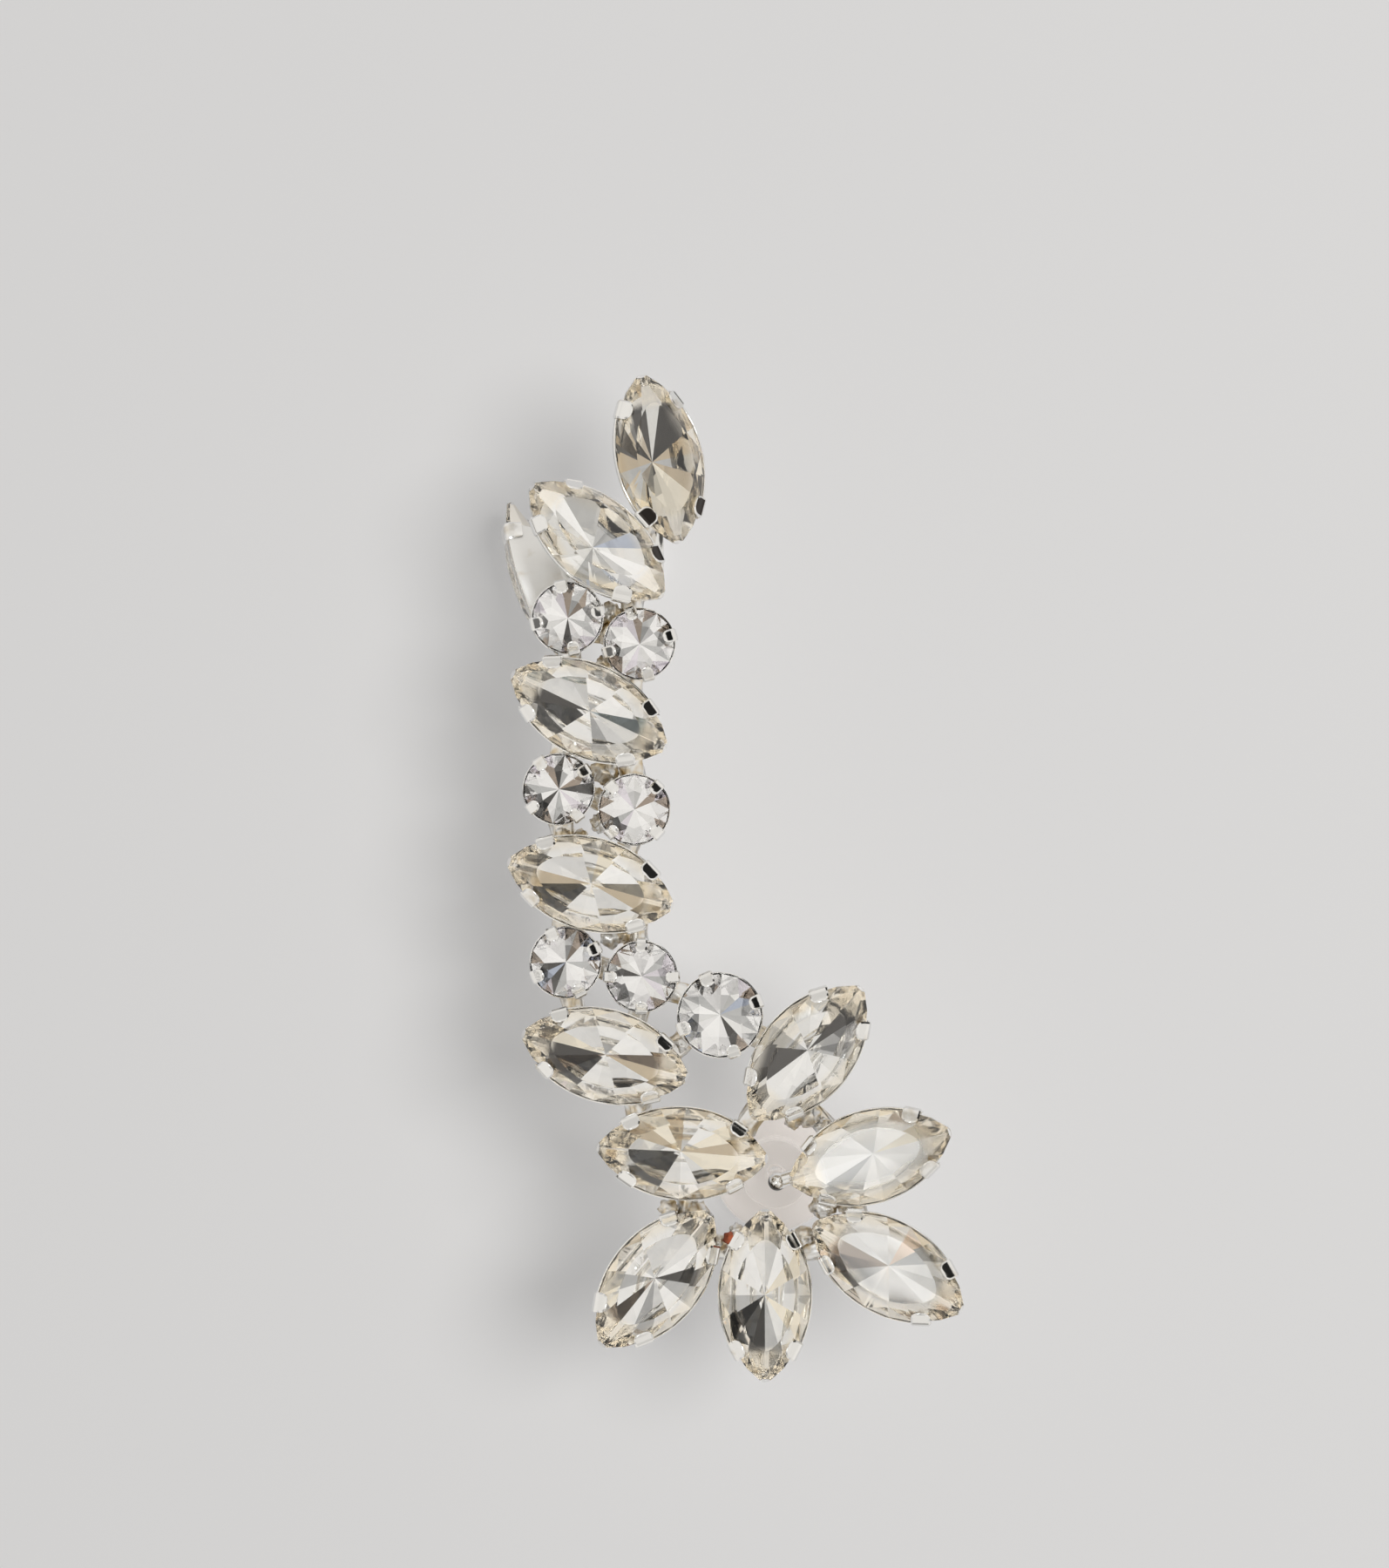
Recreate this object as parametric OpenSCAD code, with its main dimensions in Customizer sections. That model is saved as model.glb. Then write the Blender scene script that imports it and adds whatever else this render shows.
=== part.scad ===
// Ear climber: a curved row of marquise and round crystals in claw cups, which ends in an open flower
// over the ear post. It lies on its back: +X and +Y are the plane of the stones, +Z is the way they face.

/* [Marquise stones] */
// Length of a marquise stone, tip to tip
marquise_length = 10; // [9.6:0.1:10]
// Width of a marquise stone at its middle
marquise_width = 5.1; // [4.8:0.1:5.1]
// Height of the crown above the girdle
marquise_crown = 0.75; // [0.6:0.05:0.8]
// Depth of the pavilion below the girdle
marquise_pavilion = 1.85; // [1.5:0.05:1.9]
// Size of the table as a share of the girdle
marquise_table = 0.66; // [0.55:0.01:0.72]

/* [Round stones] */
// Diameter of a small round stone
round_width = 3.86; // [3.6:0.02:3.9]
// Diameter of the large round stone
large_round_width = 4.64; // [4.4:0.02:4.7]
// Height of the crown above the girdle, as a share of the radius
round_crown = 0.34; // [0.28:0.01:0.36]
// Depth of the pavilion, as a share of the radius
round_pavilion = 0.77; // [0.7:0.01:0.78]
// Size of the table as a share of the girdle
round_table = 0.55; // [0.5:0.01:0.62]

/* [Cups and claws] */
// Thickness of a cup's wall
cup_wall = 0.15; // [0.12:0.01:0.18]
// Clear gap between a stone and the metal
seat_gap = 0.05; // [0.04:0.01:0.06]
// Depth of a cup below the girdle
cup_depth = 2.35; // [2.3:0.05:2.6]
// Thickness of a cup's floor
cup_floor = 0.34; // [0.3:0.01:0.4]
// Length of the wall along a marquise cup, short of both tips
cup_side = 7.5; // [7:0.1:8]
// Width of a claw on a marquise cup
claw_width = 0.95; // [0.8:0.05:1]
// Width of a claw on a round cup
round_claw_width = 0.62; // [0.5:0.02:0.7]
// Thickness of a claw
claw_thick = 0.22; // [0.18:0.02:0.26]
// How far a claw is folded over the crown
claw_reach = 0.62; // [0.5:0.02:0.7]

/* [Ear post and clutch] */
// Diameter of the ear post
post_width = 0.84; // [0.8:0.02:0.9]
// Place of the post from the middle of the piece
post_x = 2.51; // [2.4:0.01:2.6]
post_y = -17.15; // [-17.3:0.01:-17]
// Height of the post's end above the surface
post_end = 0.15; // [0.1:0.05:0.3]
// Diameter of the clutch's flat pad
pad_width = 7; // [6:0.1:7.4]
// Thickness of the clutch's flat pad
pad_thick = 1.0; // [0.8:0.1:1.2]
// Diameter of the clutch's hub
hub_width = 4.1; // [3.8:0.1:4.4]
// Height of the clutch
clutch_height = 3; // [2.8:0.1:3.2]

/* [Curl behind the ear's rim] */
// Outer radius of the curl
curl_radius = 4.3; // [4.2:0.05:4.4]
// Thickness of the curl's band
curl_thick = 0.8; // [0.7:0.05:0.9]
// Width of the curl's band
curl_width = 2.8; // [2.4:0.1:3]
// Middle of the curl from the middle of the piece
curl_x = -5.1; // [-5.2:0.05:-5]
curl_y = 18.6; // [18.4:0.1:18.8]
// The band stops this far to the right of the curl's middle
curl_mouth = 1.1; // [0.8:0.1:1.4]

/* [Hidden] */
// Height of the girdles of the stones that face the viewer
girdle_z = 10.6;
// Moves the whole piece so that the middle of its box is over the origin
centre_x = 0.19;
centre_y = -0.1;
girdle_thick = 0.24;
// Claws stand this far along the axis, with a heel behind the fold
claw_along = 3.1;
claw_heel = 0.34;
round_claw_heel = 0.28;
// A cup's rim and the start of its taper, from the girdle's middle, and how much smaller its foot is
rim_z = 0.08;
rim_low = 0.16;
cup_taper = 0.42;
// Solder runs on the cups' backs at this depth below the girdle
solder_z = -2.32;
rod_width = 0.84;
spot_width = 1.2;
facets_side = 5;
facets_round = 12;

// A stone's row: name, kind, place [x, y, z] of its girdle's middle, and its angles [lean, dip, turn].
// Lean tips it about its long axis, dip lowers its +x end, and turn is its long axis in plan, or for
// a round stone the first claw.
NAME = 0;
KIND = 1;
PLACE = 2;
ANGLES = 3;
STONES = [
    ["top_stone", "marquise", [-4.12, 23.54, girdle_z + 0.6], [22, 0, 102.5]],
    ["curl_stone_front", "marquise", [-7.63, 19.0, girdle_z], [-20, 0, -40]],
    ["curl_stone_back", "marquise", [-11.3, 17.1, 2.57], [108, 0, -71]],
    ["round_stone_1", "round", [-9.29, 14.71, girdle_z - 0.3], [0, 0, 11]],
    ["round_stone_2", "round", [-5.25, 13.24, girdle_z - 0.3], [0, 0, 15]],
    ["row_stone_1", "marquise", [-8.07, 9.49, girdle_z], [0, 0, -25.7]],
    ["round_stone_3", "round", [-9.78, 5.1, girdle_z - 0.3], [0, 0, 35]],
    ["round_stone_4", "round", [-5.55, 3.96, girdle_z - 0.3], [0, 0, 45]],
    ["row_stone_2", "marquise", [-7.99, -0.21, girdle_z], [0, 0, -15.3]],
    ["round_stone_5", "round", [-9.39, -4.61, girdle_z - 0.3], [0, 0, 25]],
    ["round_stone_6", "round", [-5.14, -5.4, girdle_z - 0.3], [0, 0, 0]],
    ["row_stone_3", "marquise", [-7.17, -9.83, girdle_z], [0, 0, -15]],
    ["large_round_stone", "large round", [-0.74, -7.55, girdle_z], [0, 0, 20]],
    ["petal_stone_1", "marquise", [4.12, -9.68, girdle_z], [0, -6, 50.5]],
    ["petal_stone_2", "marquise", [7.64, -15.48, girdle_z], [0, -12, 18.3]],
    ["petal_stone_3", "marquise", [8.65, -21.66, girdle_z], [0, -6, -29.8]],
    ["petal_stone_4", "marquise", [1.78, -23.24, girdle_z], [0, -6, -90]],
    ["petal_stone_5", "marquise", [-4.32, -22.32, girdle_z], [0, -6, 230]],
    ["petal_stone_6", "marquise", [-2.85, -15.29, girdle_z], [0, -4, 175.9]]
];

// Solder between two cups: for both, the name and the distance along its long axis, and last the
// share of the way that the solder leaves out at each end.
SOLDERS = [
    ["top_stone", -2.4, "curl_stone_front", 1.9, 0],
    ["curl_stone_front", 0.6, "round_stone_1", 0, 0.2],
    ["curl_stone_front", 3, "round_stone_2", 0, 0.2],
    ["round_stone_1", 0, "round_stone_2", 0, 0.2],
    ["round_stone_1", 0, "row_stone_1", -1, 0.2],
    ["round_stone_2", 0, "row_stone_1", 2, 0.2],
    ["row_stone_1", -1.5, "round_stone_3", 0, 0.2],
    ["row_stone_1", 2.4, "round_stone_4", 0, 0.2],
    ["round_stone_3", 0, "round_stone_4", 0, 0.2],
    ["round_stone_3", 0, "row_stone_2", -1.5, 0.2],
    ["round_stone_4", 0, "row_stone_2", 1.6, 0.2],
    ["row_stone_2", -1.6, "round_stone_5", 0, 0.2],
    ["row_stone_2", 2.2, "round_stone_6", 0, 0.2],
    ["round_stone_5", 0, "round_stone_6", 0, 0.2],
    ["round_stone_5", 0, "row_stone_3", -1.6, 0.2],
    ["round_stone_6", 0, "row_stone_3", 1.6, 0.2],
    ["round_stone_6", 0, "large_round_stone", 0, 0.2],
    ["row_stone_3", 2.6, "large_round_stone", 0, 0.15],
    ["large_round_stone", 0, "petal_stone_1", -1, 0.2],
    ["row_stone_3", 1.2, "petal_stone_6", 2, 0.15],
    ["petal_stone_6", -2.6, "petal_stone_1", -3.1, 0.02],
    ["petal_stone_1", -2.2, "petal_stone_2", -1.5, 0.08],
    ["petal_stone_2", -2, "petal_stone_3", -1.6, 0.1],
    ["petal_stone_3", -3, "petal_stone_4", -1.7, 0.05],
    ["petal_stone_4", -2.8, "petal_stone_5", -2, 0.05],
    ["petal_stone_5", -3, "petal_stone_6", -0.6, 0.05]
];

// Radius of the two arcs that meet in a marquise outline, and how far their middles lie off the axis.
function arc_radius(half_length, half_width) =
    (pow(half_length, 2) + pow(half_width, 2)) / (2 * half_width);
stone_arc = arc_radius(marquise_length / 2, marquise_width / 2);
arc_offset = stone_arc - marquise_width / 2;
claw_turn = asin(claw_along / stone_arc);

// Points of a marquise outline at height z, scaled by share.
function marquise_ring(share, z) =
    let (half_angle = asin(marquise_length / 2 / stone_arc))
    [for (side = [1, -1], i = [0 : facets_side - 1])
        let (a = side * half_angle * (1 - 2 * i / facets_side))
        [share * stone_arc * sin(a), side * share * (stone_arc * cos(a) - arc_offset), z]];

// Points of a round outline at height z.
function round_ring(radius, z) =
    [for (i = [0 : facets_round - 1])
        [radius * cos(360 * i / facets_round), radius * sin(360 * i / facets_round), z]];

// Row of a stone, and where a point of it lies in the piece.
function stone_row(name) = STONES[search([name], STONES)[0]];
function tip_x(p, a) = [p[0], p[1] * cos(a) - p[2] * sin(a), p[1] * sin(a) + p[2] * cos(a)];
function tip_y(p, a) = [p[0] * cos(a) + p[2] * sin(a), p[1], p[2] * cos(a) - p[0] * sin(a)];
function tip_z(p, a) = [p[0] * cos(a) - p[1] * sin(a), p[0] * sin(a) + p[1] * cos(a), p[2]];
function placed(name, p) =
    let (row = stone_row(name), a = row[ANGLES])
    tip_z(tip_y(tip_x(p, a[0]), a[1]), a[2]) + row[PLACE];
function stone_radius(kind) = (kind == "large round" ? large_round_width : round_width) / 2;

module at_stone(name) {
    row = stone_row(name);
    translate(row[PLACE]) rotate(row[ANGLES]) children();
}

// A closed solid through rings of equal count, from the top one down. With depth, its bottom is a point.
module loft(rings, depth = 0) {
    count = len(rings[0]);
    last = count * (len(rings) - 1);
    top = [[for (i = [count - 1 : -1 : 0]) i]];
    sides = [for (level = [0 : len(rings) - 2], i = [0 : count - 1], half = [0, 1])
        let (a = level * count + i, b = level * count + (i + 1) % count)
        half == 0 ? [a, b, b + count] : [a, b + count, a + count]];
    bottom = depth == 0
        ? [[for (i = [0 : count - 1]) last + i]]
        : [for (i = [0 : count - 1]) [last + i, last + (i + 1) % count, last + count]];
    points = concat([for (ring = rings) each ring], depth == 0 ? [] : [[0, 0, -depth]]);
    polyhedron(points, concat(top, sides, bottom), convexity = 3);
}

module marquise_stone() {
    loft([
        marquise_ring(marquise_table, girdle_thick / 2 + marquise_crown),
        marquise_ring(1, girdle_thick / 2),
        marquise_ring(1, -girdle_thick / 2)
    ], marquise_pavilion);
}

module round_stone(radius) {
    loft([
        round_ring(radius * round_table, girdle_thick / 2 + radius * round_crown),
        round_ring(radius, girdle_thick / 2),
        round_ring(radius, -girdle_thick / 2)
    ], radius * round_pavilion);
}

// A claw at radius r: a round-ended tab folded onto the crown, with its heel on the cup's wall.
module claw(r, width, crown_slope, heel) {
    translate([0, r + seat_gap * sin(crown_slope), girdle_thick / 2 + seat_gap * cos(crown_slope)])
        rotate([-crown_slope, 0, 0]) hull() {
            translate([-width / 2, 0, 0]) cube([width, heel, claw_thick]);
            translate([0, width * 0.4 - claw_reach, 0])
                cylinder(h = claw_thick, d = width * 0.8, $fn = 6);
        }
}

// A cup through outlines of a given share of the stone's own: straight past the girdle, then tapered.
module cup(rings_out, rings_in) {
    difference() {
        loft(rings_out);
        loft(rings_in);
    }
}

module marquise_cup() {
    half = marquise_width / 2;
    inside = 1 + seat_gap / half;
    outside = 1 + (seat_gap + cup_wall) / half;
    slope = atan(marquise_crown / (half * (1 - marquise_table)));
    intersection() {
        cup([
            marquise_ring(outside, rim_z),
            marquise_ring(outside, -rim_low),
            marquise_ring(outside - cup_taper, -cup_depth)
        ], [
            marquise_ring(inside, rim_z + 0.01),
            marquise_ring(inside, -rim_low),
            marquise_ring(inside - cup_taper, cup_floor - cup_depth)
        ]);
        translate([-cup_side / 2, -5, -5]) cube([cup_side, 10, 10]);
    }
    for (side = [0, 180], turn = [-claw_turn, claw_turn])
        rotate([0, 0, side]) translate([0, -arc_offset, 0]) rotate([0, 0, turn])
            claw(stone_arc, claw_width, slope, claw_heel);
}

module round_cup(radius) {
    slope = atan(round_crown / (1 - round_table));
    inside = radius + seat_gap;
    outside = inside + cup_wall;
    low = radius * cup_taper;
    cup([
        round_ring(outside, rim_z),
        round_ring(outside, -rim_low),
        round_ring(outside - low, -cup_depth)
    ], [
        round_ring(inside, rim_z + 0.01),
        round_ring(inside, -rim_low),
        round_ring(inside - low, cup_floor - cup_depth)
    ]);
    for (k = [0 : 3]) rotate([0, 0, 90 * k - 90])
        claw(radius, round_claw_width, slope, round_claw_heel);
}

// A straight round rod from a to b.
module rod(a, b, width) {
    way = b - a;
    translate(a) rotate([0, acos(way[2] / norm(way)), atan2(way[1], way[0])])
        cylinder(h = norm(way), d = width, $fn = 6);
}

module solder(a, b, left_out) {
    rod(a + left_out * (b - a), b - left_out * (b - a), rod_width);
}

module curl() {
    translate([curl_x, curl_y, curl_radius]) difference() {
        rotate([90, 0, 0]) cylinder(h = curl_width, r = curl_radius, center = true, $fn = 36);
        rotate([90, 0, 0])
            cylinder(h = curl_width + 1, r = curl_radius - curl_thick, center = true, $fn = 36);
        translate([curl_mouth, -5, -6]) cube([12, 10, 12]);
    }
}

module setting_frame() {
    low = solder_z;
    post_top = placed("petal_stone_2", [-3.4, 0, low]);
    color("silver") {
        for (row = STONES) at_stone(row[NAME]) {
            if (row[KIND] == "marquise") marquise_cup();
            else round_cup(stone_radius(row[KIND]));
        }
        for (row = SOLDERS)
            solder(placed(row[0], [row[1], 0, low]), placed(row[2], [row[3], 0, low]), row[4]);
        curl();
        rod(placed("curl_stone_back", [0, 0, low]), [curl_x - curl_radius + 0.3, 17.9, 3.6], spot_width);
        rod(placed("curl_stone_front", [0.4, 0, low]), [curl_x, curl_y, 8.2], spot_width);
        rod(placed("petal_stone_2", [-3, 0, low]), [post_x, post_y, post_top[2]], rod_width);
        translate([post_x, post_y, post_end]) cylinder(h = post_top[2] - post_end, d = post_width, $fn = 16);
        translate([post_x, post_y, post_top[2]]) sphere(r = 0.52, $fn = 12);
    }
}

module clutch() {
    color([0.92, 0.92, 0.92, 0.5]) translate([post_x, post_y, 0]) difference() {
        union() {
            cylinder(h = pad_thick, d = pad_width, $fn = 64);
            cylinder(h = clutch_height, d = hub_width, $fn = 64);
        }
        translate([0, 0, -1]) cylinder(h = clutch_height + 2, d = post_width + 2 * seat_gap, $fn = 32);
    }
}

module stone(name) {
    row = stone_row(name);
    color("whitesmoke") at_stone(name) {
        if (row[KIND] == "marquise") marquise_stone();
        else round_stone(stone_radius(row[KIND]));
    }
}

translate([centre_x, centre_y, 0]) {
    setting_frame();
    clutch();
    for (row = STONES) stone(row[NAME]);
}
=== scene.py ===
# %% [markdown]
# An ear climber, lying on its back under soft studio light. It is a curved row of marquise and round
# crystals in silver claw cups, which ends in an open flower over the ear post. The frame loaded below
# holds every piece at its real size and place. This lesson dresses it: each crystal is cut again facet
# by facet, and the one soldered setting is built up from cups, claws, solder, a curl and a post.

# %% Load the frame
import random

import bmesh
import bpy
from mathutils import Euler, Matrix, Vector, noise
from math import acos, asin, atan, atan2, copysign, cos, degrees, exp, pi, radians, sin, tau


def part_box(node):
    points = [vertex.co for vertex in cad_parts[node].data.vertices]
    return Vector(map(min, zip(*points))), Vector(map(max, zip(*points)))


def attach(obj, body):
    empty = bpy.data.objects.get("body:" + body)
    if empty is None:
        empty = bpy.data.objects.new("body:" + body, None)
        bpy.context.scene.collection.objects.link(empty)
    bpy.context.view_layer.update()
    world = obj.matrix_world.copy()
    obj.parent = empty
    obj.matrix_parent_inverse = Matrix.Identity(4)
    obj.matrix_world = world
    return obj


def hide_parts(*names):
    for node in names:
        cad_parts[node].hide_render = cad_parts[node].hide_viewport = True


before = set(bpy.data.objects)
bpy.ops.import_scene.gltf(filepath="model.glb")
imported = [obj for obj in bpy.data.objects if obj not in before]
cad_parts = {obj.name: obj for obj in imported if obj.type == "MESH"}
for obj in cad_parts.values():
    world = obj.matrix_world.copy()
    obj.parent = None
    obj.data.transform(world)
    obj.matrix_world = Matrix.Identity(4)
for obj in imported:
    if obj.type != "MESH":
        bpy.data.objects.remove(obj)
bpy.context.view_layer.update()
MM = 0.001
scene = bpy.context.scene


# %% [markdown]
# A few helpers say in one line what the later steps repeat: put an object into the scene, keep a number on
# every point or face of a mesh, and make a node whose sockets each get a constant or a link. Every finish
# could be wired by hand in the node editor too, but in a script it comes out the same each time.

# %% Helpers
def new_mesh(name, points, faces=()):
    mesh = bpy.data.meshes.new(name)
    mesh.from_pydata(points, [], faces)
    return mesh


def rework(mesh, change):
    work = bmesh.new()
    work.from_mesh(mesh)
    change(work)
    work.to_mesh(mesh)
    work.free()


def add_object(name, data):
    made = bpy.data.objects.new(name, data)
    scene.collection.objects.link(made)
    return made


def write(mesh, name, values, kind="FLOAT", domain="POINT"):
    """Keep a number or a vector on each point or face of a mesh, where its material can read it."""
    kept = mesh.attributes.new(name, kind, domain)
    kept.data.foreach_set("vector" if kind == "FLOAT_VECTOR" else "value", values)


def fill(made, sockets):
    for name, value in sockets.items():
        if isinstance(value, bpy.types.NodeSocket):
            made.id_data.links.new(value, made.inputs[name])
        else:
            made.inputs[name].default_value = value


def node(tree, kind, sockets=None, **settings):
    made = tree.nodes.new(kind)
    for name, value in settings.items():
        setattr(made, name, value)
    fill(made, sockets or {})
    return made


def maths(tree, operation, a, b):
    return node(tree, "ShaderNodeMath", {0: a, 1: b}, operation=operation).outputs[0]


def fade(tree, value, start, end, top=1.0):
    """A soft step from 0 at the start to the top value at the end."""
    sockets = {"Value": value, "From Min": start, "From Max": end, "To Max": top}
    return node(tree, "ShaderNodeMapRange", sockets, interpolation_type="SMOOTHSTEP").outputs[0]


def mix_colour(tree, factor, a, b):
    sockets = {"Factor": factor, "A": a, "B": b}
    return node(tree, "ShaderNodeMix", sockets, data_type="RGBA", clamp_factor=True).outputs["Result"]


def attribute(tree, name, output="Fac"):
    return node(tree, "ShaderNodeAttribute", attribute_name=name).outputs[output]


def new_material(name, sockets):
    """A material, its tree and its shader, with the constants that the shader starts from."""
    material = bpy.data.materials.new(name)
    material.use_nodes = True
    shader = material.node_tree.nodes["Principled BSDF"]
    fill(shader, sockets)
    return material, material.node_tree, shader


print("helpers are ready for the scene", scene.name)

# %% [markdown]
# The photograph looks straight down at the stones. Camera and light come first, so that every later step
# can be judged in the same picture. A long lens keeps the cups from leaning outwards at the edges. The
# camera's height follows from how many millimetres the picture's long side covers at the girdles.

# %% Camera
PHOTO_HEIGHT_MM = 87.8
VIEW_CENTRE_MM = (-1.98, 5.29)
GIRDLE_HEIGHT_MM = 10.6
LENS_MM = 100
SENSOR_MM = 36
CLIP_M = (0.01, 10)


def make_camera():
    data = bpy.data.cameras.new("camera")
    data.lens = LENS_MM
    data.sensor_width = SENSOR_MM
    data.clip_start, data.clip_end = CLIP_M
    camera = add_object("camera", data)
    distance = PHOTO_HEIGHT_MM * LENS_MM / SENSOR_MM
    camera.location = Vector((*VIEW_CENTRE_MM, GIRDLE_HEIGHT_MM + distance)) * MM
    scene.camera = camera
    return camera


camera = make_camera()
print("camera height in mm:", round(camera.location.z / MM, 1))

# %% [markdown]
# Crystals show their surroundings far more than their own colour, so the room matters as much as the
# stones. It is a pale warm tent of broad soft patches on the sky. Dark gaps low on the left and right and
# behind the camera give the near-black claws and facets, and weak light patches lift the rest. Which way
# the photograph's dark claws face says where each gap must be. A picture of a studio would do the same,
# but patches can be moved one by one until each dark facet has its gap. The tent is hidden from the matt
# floor, which would go too dark between the stones.

# %% Room of soft patches
TENT = 0.83
TENT_COLOUR = (1.0, 0.974, 0.93, 1)
DARKEST = 0.01
# Each patch: where it is (degrees round from the right, degrees up), its inner and outer half angle in
# degrees, and how much light it adds to the tent or takes away.
PATCHES = (
    (38, 12, 16, 23, -0.81), (15, 16, 7, 11, -0.75), (193, 16, 7, 13, -0.67), (100, 20, 8, 20, -0.18),
    (285, 28, 8, 20, -0.18), (150, 38, 12, 30, 0.06), (235, 25, 14, 32, 0.06), (330, 45, 10, 26, 0.08),
    (60, 55, 10, 24, 0.08), (249, 45, 12, 22, -0.45), (90, 89, 7, 14, -0.3),
)


def way_of(round_from_right, up):
    a, b = radians(round_from_right), radians(up)
    return Vector((cos(a) * cos(b), sin(a) * cos(b), sin(b)))


def make_room():
    world = bpy.data.worlds.new("room")
    world.use_nodes = True
    scene.world = world
    world.cycles_visibility.diffuse = False
    tree = world.node_tree
    tree.nodes.clear()
    where = node(tree, "ShaderNodeTexCoord").outputs["Generated"]
    total = TENT
    for turn, up, inner, outer, strength in PATCHES:
        dot = node(tree, "ShaderNodeVectorMath", {0: where, 1: way_of(turn, up)}, operation="DOT_PRODUCT")
        far, near = cos(radians(outer)), cos(radians(inner))
        total = maths(tree, "ADD", total, fade(tree, dot.outputs["Value"], far, near, strength))
    total = maths(tree, "MAXIMUM", total, DARKEST)
    back = node(tree, "ShaderNodeBackground", {"Color": TENT_COLOUR, "Strength": total})
    node(tree, "ShaderNodeOutputWorld", {"Surface": back.outputs[0]})


make_room()
print("patches in the tent:", len(PATCHES))

# %% [markdown]
# One large round light stands high on the right, and its width makes the soft wide shadow to the left. It
# is hidden from reflections, because its own mirror image would blow facets out to white. A long panel
# does the opposite: it shows only in reflections, and the tables of the two right-hand petals mirror it.
# The floor is pale paper, too matt to mirror the jewel. It glows a little, which keeps the shadow as
# faint as it is in the photograph.

# %% Light and floor
KEY_PLACE_MM = (300, 60, 585)
KEY_WIDTH_MM = 370
KEY_POWER = 3.5
PANEL_PLACE_MM = (-118, -78, 500)
PANEL_SIZE_MM = (215, 112)
PANEL_TURN = 45
PANEL_POWER = 0.14
PANEL_COLOUR = (0.93, 0.97, 1)
FLOOR_SIZE_MM = 1500
FLOOR_DROP = -0.02 * MM
PAPER = {
    "Base Color": (0.4, 0.394, 0.388, 1), "Roughness": 0.9, "Specular IOR Level": 0.1,
    "Emission Color": (1, 0.99, 0.982, 1), "Emission Strength": 0.4,
}


def soft_light(name, place_mm, width_mm, power):
    data = bpy.data.lights.new(name, "AREA")
    data.shape = "DISK"
    data.size = width_mm * MM
    data.energy = power
    light = add_object(name, data)
    light.location = Vector(place_mm) * MM
    light.rotation_euler = light.location.to_track_quat("Z", "Y").to_euler()
    return light


def make_floor():
    half = FLOOR_SIZE_MM / 2 * MM
    corners = [(x * half, y * half, FLOOR_DROP) for x, y in ((-1, -1), (1, -1), (1, 1), (-1, 1))]
    mesh = new_mesh("floor", corners, [(0, 1, 2, 3)])
    mesh.materials.append(new_material("pale_paper", PAPER)[0])
    add_object("floor", mesh)


def reflected_panel():
    """A long panel over the flower's left that shows only in reflections, so that it throws no shadow."""
    panel = soft_light("panel", PANEL_PLACE_MM, PANEL_SIZE_MM[0], PANEL_POWER)
    panel.data.shape = "ELLIPSE"
    panel.data.size_y = PANEL_SIZE_MM[1] * MM
    panel.rotation_euler = (0, 0, radians(PANEL_TURN))
    panel.data.color = PANEL_COLOUR
    panel.visible_diffuse = False
    panel.visible_transmission = False


key = soft_light("key", KEY_PLACE_MM, KEY_WIDTH_MM, KEY_POWER)
key.visible_glossy = False
key.visible_transmission = False
reflected_panel()
make_floor()
scene.view_settings.view_transform = "Standard"
scene.cycles.use_denoising = True
scene.cycles.max_bounces = 14
scene.cycles.transmission_bounces = 12
scene.cycles.glossy_bounces = 8
print("key light at", KEY_PLACE_MM, "power", KEY_POWER)

# %% [markdown]
# The setter's plan: where each stone's girdle has its middle, and how the stone is turned. Lean tips a
# stone about its long axis, dip lowers its right end, and turn is its long axis in plan. A seat is one
# matrix that takes a stone cut in millimetres round the origin to its place in the piece. The stones could
# be moved by hand, but with one plan the cups, claws and solder all find the same seats.

# %% Plan of the seats
SHIFT_MM = Vector((0.19, -0.1, 0))
PLAN = {
    "top_stone": ("marquise", (-4.12, 23.54, 11.2), (22, 0, 102.5)),
    "curl_stone_front": ("marquise", (-7.63, 19.0, 10.6), (-20, 0, -40)),
    "curl_stone_back": ("marquise", (-11.3, 17.1, 2.57), (108, 0, -71)),
    "round_stone_1": ("round", (-9.29, 14.71, 10.3), (0, 0, 11)),
    "round_stone_2": ("round", (-5.25, 13.24, 10.3), (0, 0, 15)),
    "row_stone_1": ("marquise", (-8.07, 9.49, 10.6), (0, 0, -25.7)),
    "round_stone_3": ("round", (-9.78, 5.1, 10.3), (0, 0, 35)),
    "round_stone_4": ("round", (-5.55, 3.96, 10.3), (0, 0, 45)),
    "row_stone_2": ("marquise", (-7.99, -0.21, 10.6), (0, 0, -15.3)),
    "round_stone_5": ("round", (-9.39, -4.61, 10.3), (0, 0, 25)),
    "round_stone_6": ("round", (-5.14, -5.4, 10.3), (0, 0, 0)),
    "row_stone_3": ("marquise", (-7.17, -9.83, 10.6), (0, 0, -15)),
    "large_round_stone": ("large round", (-0.74, -7.55, 10.6), (0, 0, 20)),
    "petal_stone_1": ("marquise", (4.12, -9.68, 10.6), (0, -6, 50.5)),
    "petal_stone_2": ("marquise", (7.64, -15.48, 10.6), (0, -12, 18.3)),
    "petal_stone_3": ("marquise", (8.65, -21.66, 10.6), (0, -6, -29.8)),
    "petal_stone_4": ("marquise", (1.78, -23.24, 10.6), (0, -6, -90)),
    "petal_stone_5": ("marquise", (-4.32, -22.32, 10.6), (0, -6, 230)),
    "petal_stone_6": ("marquise", (-2.85, -15.29, 10.6), (0, -4, 175.9)),
}


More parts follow.
